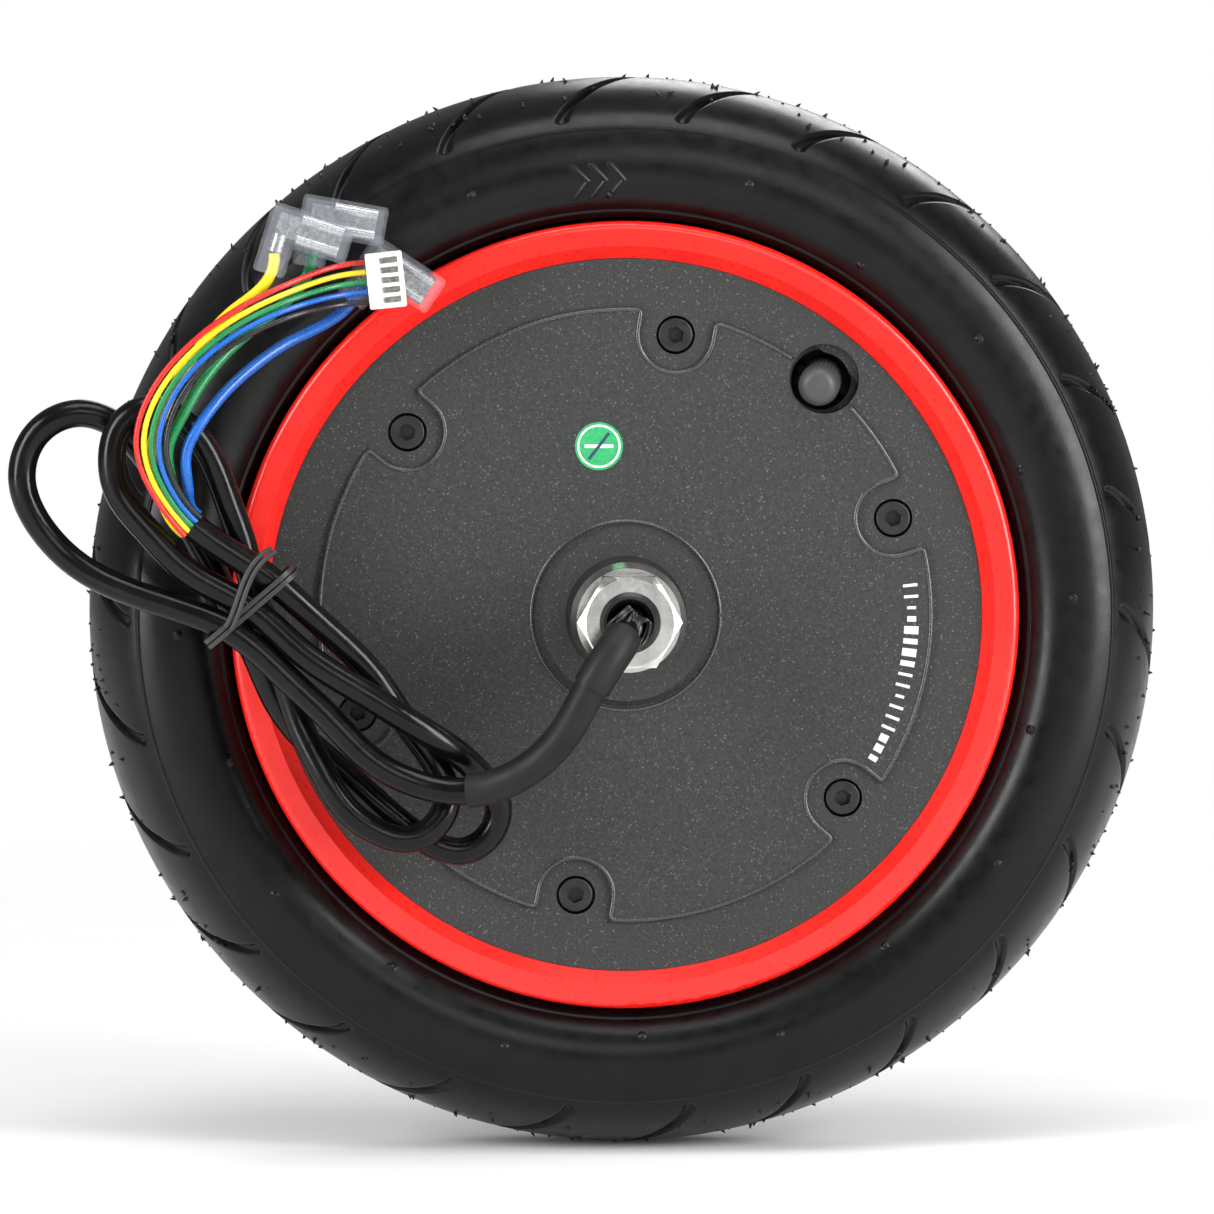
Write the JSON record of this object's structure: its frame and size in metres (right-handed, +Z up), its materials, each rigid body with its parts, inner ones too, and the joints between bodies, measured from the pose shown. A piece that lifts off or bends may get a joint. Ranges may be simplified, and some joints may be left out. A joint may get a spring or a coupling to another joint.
{
  "type": "hub motor wheel",
  "caption": "Small scooter wheel with a gearless motor in its hub, a pneumatic tyre, a screwed side cover, a threaded hollow axle and a looped cable with bare connectors.",
  "frame": {"origin": "centre of the wheel on its spin axis, midway between the rim flanges", "axes": "+Z up, +Y along the axle towards the closed side, the cable side faces -Y"},
  "size_m": [0.2308, 0.1144, 0.216],
  "materials": {
    "axle": "zinc-plated steel",
    "axle_spacer": "zinc-plated steel",
    "axle_nuts": "bright zinc plating",
    "bearing_inner_races": "ground steel",
    "stator_hub": "cast aluminium",
    "stator_core": "laminated steel",
    "phase_u_coils": "enamelled copper wire",
    "phase_v_coils": "enamelled copper wire",
    "phase_w_coils": "enamelled copper wire",
    "slot_insulators": "nylon",
    "hall_board": "printed circuit board",
    "hall_sensors": "moulded package",
    "motor_leads": "silicone lead",
    "cable_sheath": "glossy PVC",
    "strain_relief_spring": "black steel wire",
    "heat_shrink_long": "matt heat-shrink tube",
    "heat_shrink_short": "matt heat-shrink tube",
    "phase_wire_yellow": "silicone insulation",
    "phase_wire_green": "silicone insulation",
    "phase_wire_blue": "silicone insulation",
    "hall_wire_black": "PVC insulation",
    "hall_wire_blue": "PVC insulation",
    "hall_wire_green": "PVC insulation",
    "hall_wire_yellow": "PVC insulation",
    "hall_wire_red": "PVC insulation",
    "terminal_sleeves": "clear vinyl",
    "flag_terminals": "tinned brass",
    "hall_connector": "white nylon",
    "hall_contacts": "tinned",
    "twist_tie": "plastic-coated wire",
    "tyre": "moulded rubber, semi-gloss",
    "inner_tube": "butyl rubber",
    "valve_stem": "rubber-coated stem",
    "hub_shell": "cast aluminium, satin red flange, dark powder coat elsewhere",
    "side_cover": "dark sparkle powder coat",
    "cover_gasket": "rubber",
    "cover_screws": "black oxide steel",
    "flux_ring": "steel",
    "magnets": "nickel plated",
    "bearing_outer_races": "ground steel",
    "bearing_shields": "rubber shield",
    "shaft_seals": "rubber lip seal",
    "inspection_sticker": "printed paper label",
    "cage_cable_side": "pressed steel",
    "balls_cable_side": "polished steel",
    "cage_far_side": "pressed steel",
    "balls_far_side": "polished steel",
    "valve_cap": "moulded plastic with a knurled skirt",
    "valve_core": "brass-coloured pin"
  },
  "bodies": {
    "stator": {"axle": "axle", "axle_spacer": "axle_spacer", "axle_nuts": "axle_nuts", "bearing_inner_races": "bearing_inner_races", "stator_hub": "stator_hub", "stator_core": "stator_core", "phase_u_coils": "phase_u_coils", "phase_v_coils": "phase_v_coils", "phase_w_coils": "phase_w_coils", "slot_insulators": "slot_insulators", "hall_board": "hall_board", "hall_sensors": "hall_sensors", "motor_leads": "motor_leads", "cable_sheath": "cable_sheath", "strain_relief_spring": "strain_relief_spring", "heat_shrink_long": "heat_shrink_long", "heat_shrink_short": "heat_shrink_short", "phase_wire_yellow": "phase_wire_yellow", "phase_wire_green": "phase_wire_green", "phase_wire_blue": "phase_wire_blue", "hall_wire_black": "hall_wire_black", "hall_wire_blue": "hall_wire_blue", "hall_wire_green": "hall_wire_green", "hall_wire_yellow": "hall_wire_yellow", "hall_wire_red": "hall_wire_red", "terminal_sleeves": "terminal_sleeves", "flag_terminals": "flag_terminals", "hall_connector": "hall_connector", "hall_contacts": "hall_contacts", "twist_tie": "twist_tie"},
    "wheel": {"tyre": "tyre", "inner_tube": "inner_tube", "valve_stem": "valve_stem", "hub_shell": "hub_shell", "side_cover": "side_cover", "cover_gasket": "cover_gasket", "cover_screws": "cover_screws", "flux_ring": "flux_ring", "magnets": "magnets", "bearing_outer_races": "bearing_outer_races", "bearing_shields": "bearing_shields", "shaft_seals": "shaft_seals", "inspection_sticker": "inspection_sticker"},
    "cable_side_cage": {"cage_cable_side": "cage_cable_side", "balls_cable_side": "balls_cable_side"},
    "far_side_cage": {"cage_far_side": "cage_far_side", "balls_far_side": "balls_far_side"},
    "cap": {"valve_cap": "valve_cap"},
    "core": {"valve_core": "valve_core"}
  },
  "joints": [
    {"name": "wheel_spin", "type": "hinge", "parent": "stator", "child": "wheel", "pos_m": [0, 0, 0], "axis": [0, 1, 0], "continuous": true},
    {"name": "cable_side_cage_spin", "type": "hinge", "parent": "stator", "child": "cable_side_cage", "pos_m": [0, -0.017, 0], "axis": [0, 1, 0], "continuous": true},
    {"name": "far_side_cage_spin", "type": "hinge", "parent": "stator", "child": "far_side_cage", "pos_m": [0, 0.016, 0], "axis": [0, 1, 0], "continuous": true},
    {"name": "valve_cap_pull", "type": "slide", "parent": "wheel", "child": "cap", "axis": [-0.1446, -0.9744, -0.1723], "range_m": [0, 0.006]},
    {"name": "valve_core_press", "type": "slide", "parent": "wheel", "child": "core", "axis": [0.1446, 0.9744, 0.1723], "range_m": [0, 0.0015]}
  ],
  "couplings": [
    {"joint": "cable_side_cage_spin", "follows": "wheel_spin", "ratio": 0.6013},
    {"joint": "far_side_cage_spin", "follows": "wheel_spin", "ratio": 0.6191}
  ]
}
